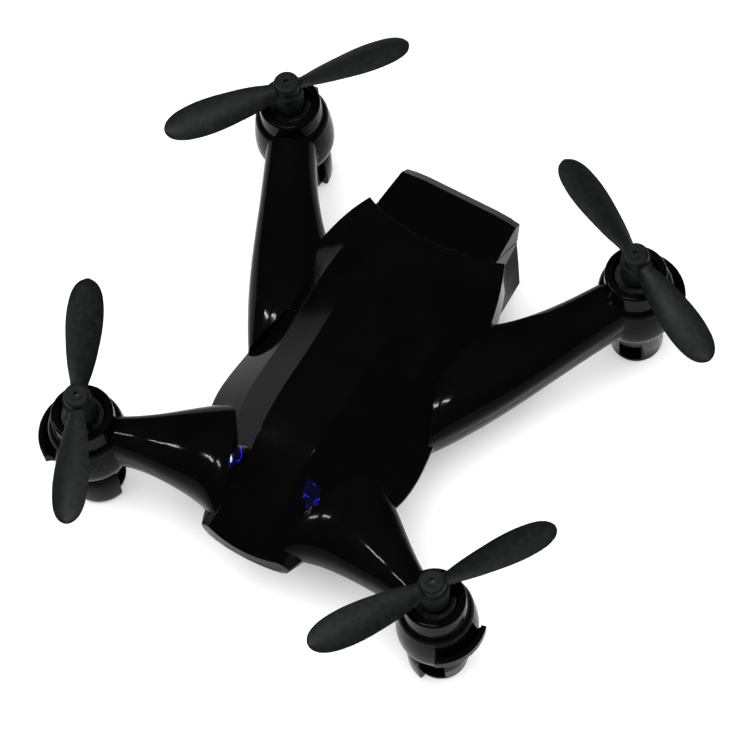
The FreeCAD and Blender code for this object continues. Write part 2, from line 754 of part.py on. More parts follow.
eye_cuts = [eye_form("eye_cut_left", -1, as_size(0)), eye_form("eye_cut_right", 1, as_size(0))]
upper_whole = joined("upper_whole", [upper_core, upper_bosses])
upper_cuts = joined("upper_cuts", notches + screw_holes + eye_cuts)
node(cut("upper_shell_cut", upper_whole, upper_cuts), "upper_shell")
lower_whole = joined("lower_whole", [lower_core, lower_bosses, cradle] + lips)
lower_cuts = joined("lower_cuts", notches + windows + screw_holes + [slot])
node(cut("lower_shell_cut", lower_whole, lower_cuts), "lower_shell")

for word, side in (("left", -1), ("right", 1)):
    lens = eye_form("lens_prism_" + word, side, eye_clearance)
    node(shared("eye_%s_cut" % word, upper_core, lens), "eye_lens_" + word)

# ---------------------------------------------------------------- battery module
battery_tail_round = cylinder(
    "battery_tail_round", seam_radius - seam_open, 0, far, 0, seam_middle + seam_radius
)
high_side = new_body("high_side", -far / 2)
profile = new_sketch(high_side, "battery_side", "YZ_Plane")
outline(
    profile,
    [
        (16, cradle_front + seam_open), (wall_corner, cradle_front + seam_open),
        (cradle_end + seam_open, cradle_rear + seam_open), (tail_back, tail_height), (34, 40),
        (16, 40),
    ],
)
side_pad = high_side.newObject("PartDesign::Pad", "high_side_pad")
side_pad.Profile = profile
side_pad.setExpression("Length", far.text)
battery_tail = shared("battery_tail", shared("battery_top", tail_form, high_side), battery_tail_round)
slant = (cradle_end - cradle_foot) / cradle_rear.value
cartridge_foot = cradle_foot + slant * battery_floor.value
cartridge_end = cradle_foot + slant * battery_roof.value
cartridge = new_body("cartridge", -battery_half)
profile = new_sketch(cartridge, "cartridge_side", "YZ_Plane")
outline(
    profile,
    [
        (-battery_front, battery_floor), (cartridge_foot, battery_floor),
        (cartridge_end, battery_roof), (-battery_front, battery_roof),
    ],
)
side_pad = cartridge.newObject("PartDesign::Pad", "cartridge_pad")
side_pad.Profile = profile
side_pad.setExpression("Length", (battery_half * 2).text)
cell_margin = battery_wall + seat_clearance
cell_room = box(
    "cell_room",
    (-battery_half + battery_wall, -battery_front + battery_wall, battery_floor + battery_wall),
    (battery_half - battery_wall, cartridge_foot - battery_wall, battery_roof - battery_wall),
)
battery_solid = joined("battery_solid", [battery_tail, cartridge])
node(cut("battery_case_cut", battery_solid, cell_room), "battery_case")
cell = box(
    "battery_cell_box",
    (-battery_half + cell_margin, -battery_front + cell_margin, battery_floor + cell_margin),
    (battery_half - cell_margin, cartridge_foot - battery_wall * 3, battery_roof - cell_margin),
)
node(cell, "battery_cell")
for word, side in (("left", -1), ("right", 1)):
    contact = box(
        "contact_" + word,
        (as_size(2.4) * side - 1.0, -battery_front - 0.25, battery_floor + 1.2),
        (as_size(2.4) * side + 1.0, -battery_front, battery_floor + 4.4),
    )
    node(contact, "battery_contact_" + word)

# ---------------------------------------------------------------- flight electronics
board_top = board_level + board_thickness
board = new_body("board")
corners = rectangle(board_half, (board_front - board_rear) / 2, 0, -(board_front + board_rear) / 2)
pad(board, "board_pad", corners, board_level, board_thickness)
node(board, "flight_board")
PARTS_ON_BOARD = [
    ("processor_chip", (-3.0, -14.5), (2.5, 2.5), 1.0),
    ("radio_chip", (3.4, -18.6), (1.6, 1.6), 0.8),
    ("gyro_chip", (0.0, -18.8), (1.1, 1.1), 0.8),
    ("crystal_can", (3.4, -14.6), (1.0, 2.0), 1.3),
    ("battery_socket", (0.0, -6.7), (4.2, 1.6), 6.2),
]
for name, (x, y), (half_x, half_y), height in PARTS_ON_BOARD:
    chip = new_body(name + "_body")
    pad(chip, name + "_pad", rectangle(half_x, half_y, x, y), board_top, height)
    node(chip, name)
switch_floor = as_size(7.4)
switch_box = box("switch_box", (-1.8, -switch_y - 4.2, switch_floor), (1.8, -switch_y + 4.2, board_level))
node(switch_box, "power_switch")
knob = new_body("knob", 0, knob_y)
pad(knob, "knob_pad", rectangle(knob_half_width, knob_half_length), as_size(5.9) - knob_stand, 2.05)
node(knob, "switch_knob")
ANTENNA = [(-6.0, -10.4, 10.2), (-6.0, -10.6, 14.0), (-4.6, -14.0, 18.0), (1.5, -17.0, 20.0)]
node(tube("antenna", ANTENNA, 0.4), "antenna_wire")

for word, side in (("left", -1), ("right", 1)):
    led = new_body("led_block_" + word, eye_x * side * 0.92, -eye_y + 0.9)
    pad(led, led.Name + "_pad", rectangle(1.0, 0.8), 20.2, 2.2)
    node(cut("led_trimmed_" + word, led, upper_core), "eye_led_" + word)

# ---------------------------------------------------------------- case screws
screws = []
for number, (side, end) in enumerate(SCREWS):
    screw = new_body("screw_%d" % number, *screw_place(side, end))
    revolve(
        screw,
        "screw_turn_%d" % number,
        [
            (0, screw_seat - screw_head_height),
            (screw_head_radius - 0.3, screw_seat - screw_head_height),
            (screw_head_radius, screw_seat - screw_head_height + 0.3),
            (screw_head_radius, screw_seat),
            (screw_radius, screw_seat),
            (screw_radius, screw_seat + screw_length - 0.6),
            (0, screw_seat + screw_length),
        ],
    )
    screws.append(screw)
screw_group = doc.addObject("Part::Compound", "screw_group")
screw_group.Links = screws
node(screw_group, "case_screws")

# ---------------------------------------------------------------- motors and propellers
# Blade sections from root to tip: radius, chord and pitch in degrees.
BLADE_SECTIONS = [
    (1.3, 3.0, 24), (4.0, 3.5, 22), (8.0, 4.9, 18), (12.6, 5.7, 14), (16.2, 5.3, 12), (18.6, 3.9, 10),
    (19.7, 2.0, 9), (20.0, 0.7, 9),
]
BLADE_ANGLES = {"rear_left": 51.6, "rear_right": 151.9, "front_left": 117.9, "front_right": 56.7}
SPIN = {"rear_left": -1, "rear_right": 1, "front_left": 1, "front_right": -1}


def blade_ring(radius, chord, pitch, spin):
    """One blade section: two arcs that meet at the leading and the trailing edge."""
    scale = propeller_radius.value / 20
    pitch = math.radians(pitch)
    forward = Vector(0, spin * math.cos(pitch), math.sin(pitch))
    upward = Vector(0, -spin * math.sin(pitch), math.cos(pitch))
    thickness = blade_thickness.value * (0.45 + 0.55 * (1 - radius / 20))
    camber = blade_camber.value * chord / 5.7
    centre = Vector(radius * scale, 0, (hub_step + blade_level).value)
    lead_edge = centre + forward * (chord / 2)
    trail_edge = centre - forward * (chord / 2)
    top = centre + upward * (camber + thickness / 2)
    bottom = centre + upward * (camber - thickness / 2)
    upper_face = Part.Arc(lead_edge, top, trail_edge).toShape()
    lower_face = Part.Arc(trail_edge, bottom, lead_edge).toShape()
    return Part.Wire([upper_face, lower_face])


def propeller(name, side, end):
    """Hub and two twisted blades of one moulding, bored for the motor's shaft."""
    x, y = pod_place(side, end)
    hub = turned(new_body("hub_" + name, x, y), BLADE_ANGLES[name] + 90)
    revolve(
        hub,
        hub.Name + "_turn",
        [
            (0, hub_bottom),
            (hub_base_radius, hub_bottom),
            (hub_base_radius, hub_step),
            (hub_cap_radius, hub_step + 0.25),
            (hub_cap_radius, hub_top - hub_round - hub_ring_height, hub_round, -1),
            (hub_cap_radius - hub_round, hub_top - hub_ring_height),
            (hub_ring_radius, hub_top - hub_ring_height),
            (hub_ring_radius, hub_top),
            (0, hub_top),
        ],
    )
    parts = [hub]
    for turn in (0, 180):
        blade = doc.addObject("Part::Feature", "blade_%s_%d" % (name, turn))
        rings = [blade_ring(*section, SPIN[name]) for section in BLADE_SECTIONS]
        blade.Shape = Part.makeLoft(rings, True, False)
        heading = Rotation(Vector(0, 0, 1), BLADE_ANGLES[name] + turn)
        blade.Placement = Placement(Vector(x.value, y.value, 0), heading)
        parts.append(blade)
    hole = cylinder("shaft_hole_" + name, shaft_radius, hub_bottom - 1, hub_top + 1, x, y)
    return cut("propeller_cut_" + name, joined("propeller_whole_" + name, parts), hole)


def motor(name, side, end):
    """The motor's can with its bearing boss, bored for the shaft."""
    can = new_body("can_" + name, *pod_place(side, end))
    bearing = shaft_radius + shaft_clearance
    revolve(
        can,
        can.Name + "_turn",
        [
            (0, motor_bottom),
            (motor_radius, motor_bottom),
            (motor_radius, motor_top - 0.3),
            (motor_radius - 0.3, motor_top),
            (bush_radius, motor_top),
            (bush_radius, motor_top + bush_height),
            (bearing, motor_top + bush_height),
            (bearing, shaft_bottom - 0.1),
            (0, shaft_bottom - 0.1),
        ],
    )
    return can


for name, (side, end) in PODS.items():
    x, y = pod_place(side, end)
    node(propeller(name, side, end), "propeller_" + name)
    node(cylinder("shaft_rod_" + name, shaft_radius, shaft_bottom, shaft_top, x, y), "shaft_" + name)
    node(motor(name, side, end), "motor_can_" + name)
    cap = cylinder("cap_" + name, end_cap_radius, motor_seat, motor_bottom, x, y)
    leads = lead("lead_tube_" + name, side, end)
    node(cut("end_cap_" + name, cap, notches[list(PODS).index(name)]), "motor_end_cap_" + name)
    node(leads, "motor_leads_" + name)

# ---------------------------------------------------------------- build, check and write
doc.recompute()
for item in doc.Objects:
    if "Invalid" in item.State or "Error" in item.State:
        raise RuntimeError("%s did not build: %s" % (item.Label, item.State))
os.makedirs("parts", exist_ok=True)
for item in nodes:
    if item.Shape.isNull() or not item.Shape.isValid() or item.Shape.Volume <= 0:
        raise RuntimeError("%s has no sound solid" % item.Label)
    item.Shape.exportStep("parts/%s.step" % item.Label)
    print("%-28s %9.2f mm3, %d solid(s)" % (item.Label, item.Shape.Volume, len(item.Shape.Solids)))
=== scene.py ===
import math

import bmesh
import bpy
from mathutils import Matrix, Vector


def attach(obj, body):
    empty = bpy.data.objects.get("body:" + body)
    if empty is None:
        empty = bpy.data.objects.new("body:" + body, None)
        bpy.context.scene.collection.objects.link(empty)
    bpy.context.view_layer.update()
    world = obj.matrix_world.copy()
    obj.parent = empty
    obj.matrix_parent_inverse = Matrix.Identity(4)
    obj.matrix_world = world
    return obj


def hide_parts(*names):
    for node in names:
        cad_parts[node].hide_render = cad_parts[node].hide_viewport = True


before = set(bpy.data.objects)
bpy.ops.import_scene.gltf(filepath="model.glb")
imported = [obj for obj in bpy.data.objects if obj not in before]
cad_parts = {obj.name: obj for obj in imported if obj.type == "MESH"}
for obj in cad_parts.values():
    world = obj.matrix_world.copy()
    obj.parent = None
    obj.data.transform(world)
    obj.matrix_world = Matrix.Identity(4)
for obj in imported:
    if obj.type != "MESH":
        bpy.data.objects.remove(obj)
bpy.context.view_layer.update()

# ---------------------------------------------------------------- viewpoint
# The quadcopter is seen from above and from its front right, with the nose towards the viewer and
# the horizon tilted a little. A long lens keeps the four motor pods nearly the same size.
azimuth = math.radians(38.20)
elevation = math.radians(64.62)
roll = math.radians(-8.35)
distance = 0.631227
aim = Vector((-0.002067, 0.005161, 0.0))
backward = Vector((
    math.sin(azimuth) * math.cos(elevation),
    -math.cos(azimuth) * math.cos(elevation),
    math.sin(elevation),
))
level_right = Vector((math.cos(azimuth), math.sin(azimuth), 0))
level_up = backward.cross(level_right)
right = level_right * math.cos(roll) + level_up * math.sin(roll)
up = level_up * math.cos(roll) - level_right * math.sin(roll)
lens = bpy.data.cameras.new("viewpoint")
lens.sensor_width = 36
lens.lens = 194.786592
lens.clip_start = 0.01
lens.clip_end = 50
camera = bpy.data.objects.new("viewpoint", lens)
facing_aim = Matrix((right, up, backward)).transposed().to_4x4()
camera.matrix_world = Matrix.Translation(aim + backward * distance) @ facing_aim
bpy.context.scene.collection.objects.link(camera)
bpy.context.scene.camera = camera
bpy.context.scene.view_settings.view_transform = "Standard"

# ---------------------------------------------------------------- table
# A sheet of white matt card lies under the drone. It glows a little to the eye and in reflections,
# so it reads as white right out to its edges while the drone still throws its shadow on it.
table_half = 4.0
card_white = 0.8
card_glow_strength = 0.26
table_mesh = bpy.data.meshes.new("table")
table_corners = [(-1, -1), (1, -1), (1, 1), (-1, 1)]
table_mesh.from_pydata(
    [(x * table_half, y * table_half, 0) for x, y in table_corners],
    [],
    [(0, 1, 2, 3)],
)
table = bpy.data.objects.new("table", table_mesh)
bpy.context.scene.collection.objects.link(table)
card = bpy.data.materials.new("white_card")
card.use_nodes = True
card_nodes = card.node_tree.nodes
card_links = card.node_tree.links
card_shader = card_nodes["Principled BSDF"]
card_shader.inputs["Base Color"].default_value = (card_white, card_white, card_white, 1)
card_shader.inputs["Roughness"].default_value = 0.9
card_shader.inputs["Specular IOR Level"].default_value = 0.0
card_shader.inputs["Emission Color"].default_value = (1, 1, 1, 1)
ray = card_nodes.new("ShaderNodeLightPath")
seen_or_mirrored = card_nodes.new("ShaderNodeMath")
seen_or_mirrored.operation = "MAXIMUM"
card_links.new(ray.outputs["Is Camera Ray"], seen_or_mirrored.inputs[0])
card_links.new(ray.outputs["Is Glossy Ray"], seen_or_mirrored.inputs[1])
or_through = card_nodes.new("ShaderNodeMath")
or_through.operation = "MAXIMUM"
card_links.new(seen_or_mirrored.outputs[0], or_through.inputs[0])
card_links.new(ray.outputs["Is Transmission Ray"], or_through.inputs[1])
card_glow = card_nodes.new("ShaderNodeMath")
card_glow.operation = "MULTIPLY"
card_glow.inputs[1].default_value = card_glow_strength
card_links.new(or_through.outputs[0], card_glow.inputs[0])
card_links.new(card_glow.outputs[0], card_shader.inputs["Emission Strength"])
table_mesh.materials.append(card)

# ---------------------------------------------------------------- lamps
# A wide soft box overhead lights everything evenly and isn't mirrored in the gloss. Two thin tubes,
# seen only in the gloss, draw the narrow lights along the arms under a dark ceiling.
drone_middle = Vector((0, 0, 0.015))
overhead_side = 2.6
overhead_power = 122
tube_width = 0.03
tube_power_per_metre = 34
tubes = {
    "outer_tube": ((-0.5, -0.15, 0.85), 0.34),
    "inner_tube": ((-0.06, -0.11, 1.0), 0.26),
}


def light_panel(name, place, length, width, power):
    """A lamp whose face looks at the drone, with its length set along the drone's width."""
    glow = bpy.data.lights.new(name, "AREA")
    glow.shape = "RECTANGLE"
    glow.size = length
    glow.size_y = width
    glow.energy = power
    holder = bpy.data.objects.new(name, glow)
    place = Vector(place)
    facing = (place - drone_middle).normalized()
    along = (Vector((1, 0, 0)) - facing * facing.x).normalized()
    turn = Matrix((along, facing.cross(along), facing)).transposed().to_4x4()
    holder.matrix_world = Matrix.Translation(place) @ turn
    bpy.context.scene.collection.objects.link(holder)
    return holder


overhead = light_panel("overhead_box", (0.1, -0.2, 2.2), overhead_side, overhead_side, overhead_power)
overhead.visible_glossy = False
for name, (place, length) in tubes.items():
    tube = light_panel(name, place, length, tube_width, tube_power_per_metre * length)
    tube.visible_diffuse = False

ceiling = bpy.data.worlds.new("dark_ceiling")
bpy.context.scene.world = ceiling
ceiling.use_nodes = True
ceiling.node_tree.nodes["Background"].inputs["Color"].default_value = (1, 1, 1, 1)
ceiling.node_tree.nodes["Background"].inputs["Strength"].default_value = 0.03

# ---------------------------------------------------------------- shell
# The body is two gloss black ABS mouldings that meet in a seam round the waist and the arms. They
# come polished from the tool, with a faint orange-peel ripple and rounded arrises.


def grain(material, size, depth, lowest, highest, rounding=0.0):
    """Give a surface fine relief and an uneven polish. The relief's grains are size metres wide and
    depth metres high, and the roughness wanders between lowest and highest."""
    nodes = material.node_tree.nodes
    links = material.node_tree.links
    shader = nodes["Principled BSDF"]
    place = nodes.new("ShaderNodeTexCoord")
    relief = nodes.new("ShaderNodeTexNoise")
    relief.inputs["Scale"].default_value = 1 / size
    relief.inputs["Detail"].default_value = 3
    links.new(place.outputs["Object"], relief.inputs["Vector"])
    bump = nodes.new("ShaderNodeBump")
    bump.inputs["Strength"].default_value = 1.0
    bump.inputs["Distance"].default_value = depth
    links.new(relief.outputs["Fac"], bump.inputs["Height"])
    if rounding:
        arris = nodes.new("ShaderNodeBevel")
        arris.samples = 6
        arris.inputs["Radius"].default_value = rounding
        links.new(arris.outputs["Normal"], bump.inputs["Normal"])
    links.new(bump.outputs["Normal"], shader.inputs["Normal"])
    polish = nodes.new("ShaderNodeTexNoise")
    polish.inputs["Scale"].default_value = 160
    polish.inputs["Detail"].default_value = 5
    links.new(place.outputs["Object"], polish.inputs["Vector"])
    spread = nodes.new("ShaderNodeMapRange")
    spread.inputs["From Min"].default_value = 0.3
    spread.inputs["From Max"].default_value = 0.7
    spread.inputs["To Min"].default_value = lowest
    spread.inputs["To Max"].default_value = highest
    links.new(polish.outputs["Fac"], spread.inputs["Value"])
    links.new(spread.outputs["Result"], shader.inputs["Roughness"])


def mottled(material, dark, light, size):
    """Let a colour wander between two tones in patches size metres wide."""
    nodes = material.node_tree.nodes
    links = material.node_tree.links
    place = nodes.new("ShaderNodeTexCoord")
    patches = nodes.new("ShaderNodeTexNoise")
    patches.inputs["Scale"].default_value = 1 / size
    patches.inputs["Detail"].default_value = 4
    links.new(place.outputs["Object"], patches.inputs["Vector"])
    tones = nodes.new("ShaderNodeValToRGB")
    tones.color_ramp.elements[0].position = 0.35
    tones.color_ramp.elements[0].color = (*dark, 1)
    tones.color_ramp.elements[1].position = 0.65
    tones.color_ramp.elements[1].color = (*light, 1)
    links.new(patches.outputs["Fac"], tones.inputs["Fac"])
    links.new(tones.outputs["Color"], nodes["Principled BSDF"].inputs["Base Color"])


def plastic(name, specular):
    """A moulded plastic with that much sheen."""
    material = bpy.data.materials.new(name)
    material.use_nodes = True
    material.node_tree.nodes["Principled BSDF"].inputs["Specular IOR Level"].default_value = specular
    return material


def dress(node, material):
    """Put a finish on a piece that comes from the CAD model as it is."""
    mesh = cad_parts[node].data
    mesh.materials.clear()
    mesh.materials.append(material)


gloss_black = plastic("gloss_black_abs", 0.025)
mottled(gloss_black, (0.0011, 0.0012, 0.0011), (0.0015, 0.0016, 0.0015), 0.009)
grain(gloss_black, 0.0016, 0.0000012, 0.06, 0.13, rounding=0.00018)
dress("upper_shell", gloss_black)

# The lower_shell solid carries a thick quarter ring round each pod, which the real moulding lacks.
# The lower moulding is a copy of it with the rings trimmed off back to the pod wall, and the guard
# ledges in the next section stand where the real ones do. Each trimming tool is a ring sector that
# starts just outside the wall and overruns the solid's ring a little at both ends.
pod_side = 0.0305
pod_end = 0.0301
pods = {
    "front_left": (-pod_side, -pod_end),
    "front_right": (pod_side, -pod_end),
    "rear_left": (-pod_side, pod_end),
    "rear_right": (pod_side, pod_end),
}
ring_starts = {"front_left": 142.0, "front_right": -52.0, "rear_left": 77.0, "rear_right": 13.0}
ring_sweep = 90.0
trim_overrun = 1.5
trim_steps = 31


def turned_wedge(name, profile, first, sweep, steps):
    """Turn a closed profile of (radius, height) pairs in millimetres about the upright axis, from
    the first angle through the sweep, and close both ends."""
    shape = bmesh.new()
    rings = []
    for step in range(steps + 1):
        angle = math.radians(first + sweep * step / steps)
        rings.append([
            shape.verts.new((r / 1000 * math.cos(angle), r / 1000 * math.sin(angle), z / 1000))
            for r, z in profile
        ])
    count = len(profile)
    for near, far in zip(rings, rings[1:]):
        for index in range(count):
            following = (index + 1) % count
            shape.faces.new((near[index], far[index], far[following], near[following]))
    shape.faces.new(rings[0])
    shape.faces.new(reversed(rings[-1]))
    bmesh.ops.recalc_face_normals(shape, faces=shape.faces)
    mesh = bpy.data.meshes.new(name)
    shape.to_mesh(mesh)
    shape.free()
    piece = bpy.data.objects.new(name, mesh)
    bpy.context.scene.collection.objects.link(piece)
    return piece


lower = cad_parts["lower_shell"]
welded = bmesh.new()
welded.from_mesh(lower.data)
bmesh.ops.transform(welded, matrix=lower.matrix_world, verts=welded.verts)
bmesh.ops.remove_doubles(welded, verts=welded.verts, dist=1e-7)
welded_mesh = bpy.data.meshes.new("lower_moulding")
welded.to_mesh(welded_mesh)
welded.free()
trimmed = bpy.data.objects.new("lower_moulding", welded_mesh)
bpy.context.scene.collection.objects.link(trimmed)
trim_profile = [
    (4.13, -1.0), (4.13, 7.3), (4.4, 8.15), (4.93, 8.75), (5.4, 9.4), (6.0, 10.2), (6.45, 11.8),
    (15.0, 11.8), (15.0, -1.0),
]
for name, (x, y) in pods.items():
    trim_start = ring_starts[name] - trim_overrun
    trim_sweep = ring_sweep + 2 * trim_overrun
    tool = turned_wedge("trim_" + name, trim_profile, trim_start, trim_sweep, trim_steps)
    tool.location = (x, y, 0)
    cut = trimmed.modifiers.new("trim_" + name, "BOOLEAN")
    cut.operation = "DIFFERENCE"
    cut.solver = "MANIFOLD"
    cut.object = tool
bpy.context.view_layer.update()
solid = trimmed.evaluated_get(bpy.context.evaluated_depsgraph_get())
finished_mesh = bpy.data.meshes.new_from_object(solid)
trimmed.modifiers.clear()
trimmed.data = finished_mesh
for name in pods:
    bpy.data.objects.remove(bpy.data.objects["trim_" + name])
finished_mesh.materials.clear()
finished_mesh.materials.append(gloss_black)
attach(trimmed, "airframe")
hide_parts("lower_shell")

# ---------------------------------------------------------------- guard ledges
# Round the outer side of each pod's bulb runs a thin flared ledge with an upright lip, part of the
# lower moulding, that a propeller guard hooks on to. The lip leaves a groove against the bulb.


def swept_curve(start, end, radius, steps):
    """Points on the short arc of that radius from start to end, bellied to the upper left."""
    chord = Vector(end) - Vector(start)
    half = chord.length / 2
    across = Vector((-abs(chord.y), abs(chord.x))).normalized()
    middle = (Vector(start) + Vector(end)) / 2
    centre = middle - across * math.sqrt(radius * radius - half * half)
    first = math.atan2(start[1] - centre.y, start[0] - centre.x)
    last = math.atan2(end[1] - centre.y, end[0] - centre.x)
    swing = (last - first + math.pi) % (2 * math.pi) - math.pi
    return [
        (centre.x + radius * math.cos(first + swing * step / steps),
         centre.y + radius * math.sin(first + swing * step / steps))
        for step in range(steps + 1)
    ]


def moulded_on(piece, x, y):
    """Fix a piece of the lower moulding to its pod, with softened shading between its faces."""
    piece.location = (x, y, 0)
    piece.data.shade_smooth()
    piece.data.set_sharp_from_angle(angle=math.radians(40))
    piece.data.materials.append(gloss_black)
    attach(piece, "airframe")


ledge_root = 5.3
ledge_foot = 10.4
ledge_reach = 7.5
ledge_turn = 14.4
ledge_wall = 0.85
ledge_top = 16.1
ledge_thickness = 1.3
ledge_belly = 5.2
ledge_curve_steps = 8
ledge_steps = 40
ledge_turns = {
    "front_left": (163.0, 79.0),
    "front_right": (-62.0, 79.0),
    "rear_left": (90.0, 82.0),
    "rear_right": (8.0, 82.0),
}
lip_inside = ledge_reach - ledge_wall
under = swept_curve(
    (ledge_root, ledge_foot), (ledge_reach, ledge_turn), ledge_belly, ledge_curve_steps
)
lip = [
    (ledge_reach + 0.05, ledge_top - 0.15),
    (ledge_reach - 0.1, ledge_top),
    (lip_inside + 0.1, ledge_top),
]
over = swept_curve(
    (lip_inside, ledge_turn + ledge_wall),
    (ledge_root + 0.3, ledge_foot + ledge_thickness),
    ledge_belly,
    ledge_curve_steps,
)
for name, (x, y) in pods.items():
    first, sweep = ledge_turns[name]
    ledge = turned_wedge("guard_ledge_" + name, under + lip + over, first, sweep, ledge_steps)
    moulded_on(ledge, x, y)

# ---------------------------------------------------------------- foot buttresses
# Each pod stands on a round foot with one thicker pad moulded on its inner side, where the leads
# turn up to the motor.
buttress_profile = [
    (3.9, 0.4), (4.6, 0.5), (4.95, 0.9), (5.1, 1.8), (5.15, 5.2), (5.05, 6.8), (4.75, 8.0), (3.9, 9.0),
]
buttress_starts = {"front_left": -82.0, "front_right": 194.0, "rear_left": 0.0, "rear_right": 112.0}
buttress_sweep = 68.0
buttress_steps = 32
for name, (x, y) in pods.items():
    buttress = turned_wedge(
        "foot_buttress_" + name, buttress_profile, buttress_starts[name], buttress_sweep, buttress_steps
    )
    moulded_on(buttress, x, y)

# ---------------------------------------------------------------- case screws
# Four small blackened steel screws go up through the lower moulding and draw the shell together.
# Their heads are turned; their polish is given as fine noise relief and uneven roughness.


def metal(name, colour, roughness, brushed=0.0):
    """A bare metal with that colour. brushed is how strongly its highlight is drawn out."""
    material = bpy.data.materials.new(name)
    material.use_nodes = True
    shader = material.node_tree.nodes["Principled BSDF"]
    shader.inputs["Base Color"].default_value = (*colour, 1)
    shader.inputs["Metallic"].default_value = 1.0
    shader.inputs["Roughness"].default_value = roughness
    shader.inputs["Anisotropic"].default_value = brushed
    return material


black_steel = metal("blackened_steel", (0.09, 0.09, 0.095), 0.4)
mottled(black_steel, (0.07, 0.07, 0.075), (0.12, 0.12, 0.125), 0.0006)
grain(black_steel, 0.0002, 0.000002, 0.32, 0.5)
dress("case_screws", black_steel)

# ---------------------------------------------------------------- eyes
# Two clear blue mouldings fill slanted windows in the nose. The diode's light through their faceted
# backs is painted on them as glow, a few bright blue sparks and hair lines, and the dark inside seen
# through them is painted in as a nearly black base colour.
eye_glass = plastic("blue_lens_painted_glow", 0.5)
eye_nodes = eye_glass.node_tree.nodes
eye_links = eye_glass.node_tree.links
eye_shader = eye_nodes["Principled BSDF"]
# Painted shade: the clear lens is coloured nearly black for the dark inside seen through it.
eye_shader.inputs["Base Color"].default_value = (0.002, 0.002, 0.012, 1)
# Painted glow: the lens itself gives off the diode's light as blue sparks and hair lines.
eye_shader.inputs["Emission Color"].default_value = (0.02, 0.02, 1.0, 1)
eye_place = eye_nodes.new("ShaderNodeTexCoord")
spark_cells = eye_nodes.new("ShaderNodeTexVoronoi")
spark_cells.feature = "DISTANCE_TO_EDGE"
spark_cells.inputs["Scale"].default_value = 640
eye_links.new(eye_place.outputs["Object"], spark_cells.inputs["Vector"])
spark = eye_nodes.new("ShaderNodeMapRange")
spark.inputs["From Min"].default_value = 0.02
spark.inputs["From Max"].default_value = 0.09
spark.inputs["To Min"].default_value = 1.0
spark.inputs["To Max"].default_value = 0.0
eye_links.new(spark_cells.outputs["Distance"], spark.inputs["Value"])
cluster = eye_nodes.new("ShaderNodeTexNoise")
cluster.inputs["Scale"].default_value = 520
cluster.inputs["Detail"].default_value = 1
eye_links.new(eye_place.outputs["Object"], cluster.inputs["Vector"])
lit_part = eye_nodes.new("ShaderNodeMapRange")
lit_part.inputs["From Min"].default_value = 0.46
lit_part.inputs["From Max"].default_value = 0.6
lit_part.inputs["To Min"].default_value = 0.0
lit_part.inputs["To Max"].default_value = 1.4
eye_links.new(cluster.outputs["Fac"], lit_part.inputs["Value"])
sparkle = eye_nodes.new("ShaderNodeMath")
sparkle.operation = "MULTIPLY"
eye_links.new(spark.outputs["Result"], sparkle.inputs[0])
eye_links.new(lit_part.outputs["Result"], sparkle.inputs[1])
eye_links.new(sparkle.outputs[0], eye_shader.inputs["Emission Strength"])
grain(eye_glass, 0.0008, 0.00002, 0.05, 0.1)
dress("eye_lens_left", eye_glass)
dress("eye_lens_right", eye_glass)

# Behind each lens sits a blue diode, a small epoxy block with its die near the middle.
diode = plastic("blue_diode", 0.5)
mottled(diode, (0.01, 0.015, 0.5), (0.02, 0.04, 0.9), 0.0008)
grain(diode, 0.0004, 0.000004, 0.15, 0.3)
diode.node_tree.nodes["Principled BSDF"].inputs["Emission Color"].default_value = (0.02, 0.03, 1.0, 1)
diode.node_tree.nodes["Principled BSDF"].inputs["Emission Strength"].default_value = 1.0
dress("eye_led_left", diode)
dress("eye_led_right", diode)

# ---------------------------------------------------------------- flight board
# The controller is a green glass-fibre board with solder mask over its copper. The mask is glossy
# and a little uneven, and the copper under it shows as paler straight tracks.
mask_green = plastic("solder_mask", 0.5)
mask_nodes = mask_green.node_tree.nodes
mask_links = mask_green.node_tree.links
mask_place = mask_nodes.new("ShaderNodeTexCoord")
tracks = mask_nodes.new("ShaderNodeTexBrick")
tracks.inputs["Scale"].default_value = 420
tracks.inputs["Mortar Size"].default_value = 0.03
tracks.inputs["Color1"].default_value = (0.004, 0.035, 0.013, 1)
tracks.inputs["Color2"].default_value = (0.006, 0.05, 0.018, 1)
tracks.inputs["Mortar"].default_value = (0.02, 0.13, 0.05, 1)
mask_links.new(mask_place.outputs["Object"], tracks.inputs["Vector"])
mask_links.new(tracks.outputs["Color"], mask_nodes["Principled BSDF"].inputs["Base Color"])
grain(mask_green, 0.0009, 0.000004, 0.2, 0.35)
dress("flight_board", mask_green)

# Three chips are moulded in matt black epoxy, and the crystal beside them is a pressed steel can.
epoxy_black = plastic("chip_epoxy", 0.4)
mottled(epoxy_black, (0.012, 0.012, 0.013), (0.022, 0.022, 0.023), 0.0005)
grain(epoxy_black, 0.00012, 0.000003, 0.55, 0.75)
for chip in ("processor_chip", "radio_chip", "gyro_chip"):
    dress(chip, epoxy_black)
pressed_steel = metal("pressed_steel", (0.55, 0.55, 0.56), 0.3, brushed=0.4)
mottled(pressed_steel, (0.5, 0.5, 0.51), (0.62, 0.62, 0.63), 0.0005)
grain(pressed_steel, 0.0003, 0.000002, 0.22, 0.38)
dress("crystal_can", pressed_steel)

# The battery plugs into an off-white nylon socket at the board's rear edge.
nylon_white = plastic("white_nylon", 0.4)
mottled(nylon_white, (0.62, 0.61, 0.56), (0.72, 0.71, 0.66), 0.0012)
grain(nylon_white, 0.0002, 0.000003, 0.4, 0.55)
dress("battery_socket", nylon_white)

